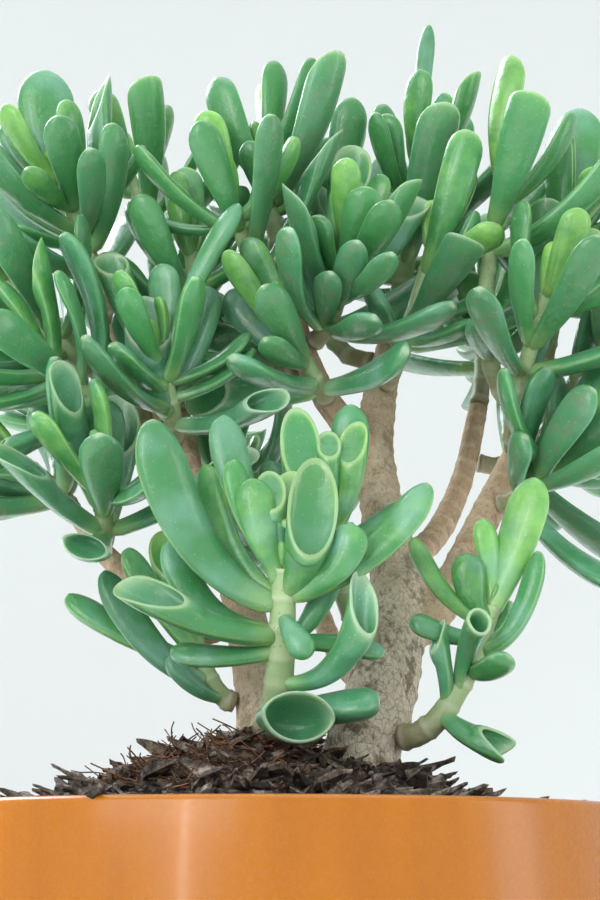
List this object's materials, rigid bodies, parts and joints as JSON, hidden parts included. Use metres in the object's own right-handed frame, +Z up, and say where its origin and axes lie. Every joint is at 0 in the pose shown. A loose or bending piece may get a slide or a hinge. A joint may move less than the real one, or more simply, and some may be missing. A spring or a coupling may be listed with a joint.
{
  "type": "potted jade plant",
  "caption": "Jade plant with finger-shaped, cup-tipped leaves on two branching woody trunks, growing in bark compost in a round glossy pot.",
  "frame": {"origin": "centre of the pot's flat base, on the surface it stands on", "axes": "+Z up the pot's axis, -Y towards the side of the plant that the picture shows, +X to the right in the picture"},
  "size_m": [0.2047, 0.1787, 0.3401],
  "materials": {
    "orange_pot": "glossy, moulded",
    "bark_compost": "loose, matte",
    "jade_bark": "rough bark, matte",
    "jade_leaf": "waxy, satin"
  },
  "bodies": {
    "root": {"pot": "orange_pot", "bark_compost": "bark_compost", "trunk_main": "jade_bark", "trunk_left": "jade_bark", "limb_right": "jade_bark", "limb_centre": "jade_bark", "limb_lower_left": "jade_bark", "limb_back_left": "jade_bark", "limb_back_right": "jade_bark", "limb_back": "jade_bark", "shoot_front": "jade_leaf", "shoot_second": "jade_leaf", "shoot_low_right": "jade_leaf", "shoot_low_left": "jade_leaf", "shoot_left_top": "jade_leaf", "shoot_left_peak": "jade_leaf", "shoot_left_edge": "jade_leaf", "shoot_left_low": "jade_leaf", "shoot_left_cup": "jade_leaf", "shoot_left_inner": "jade_leaf", "shoot_centre_peak": "jade_leaf", "shoot_centre_left": "jade_leaf", "shoot_centre_front": "jade_leaf", "shoot_centre_low": "jade_leaf", "shoot_centre_back": "jade_leaf", "shoot_main_peak": "jade_leaf", "shoot_main_back": "jade_leaf", "shoot_main_front": "jade_leaf", "shoot_right_inner": "jade_leaf", "shoot_right_peak": "jade_leaf", "shoot_right_front": "jade_leaf", "shoot_right_edge": "jade_leaf", "shoot_right_low": "jade_leaf", "shoot_mid_left_outer": "jade_leaf", "shoot_mid_left_inner": "jade_leaf", "shoot_back_left_peak": "jade_leaf", "shoot_back_left_edge": "jade_leaf", "shoot_back_left_inner": "jade_leaf", "shoot_back_right_peak": "jade_leaf", "shoot_back_right_edge": "jade_leaf", "shoot_back_low": "jade_leaf"}
  },
  "joints": []
}
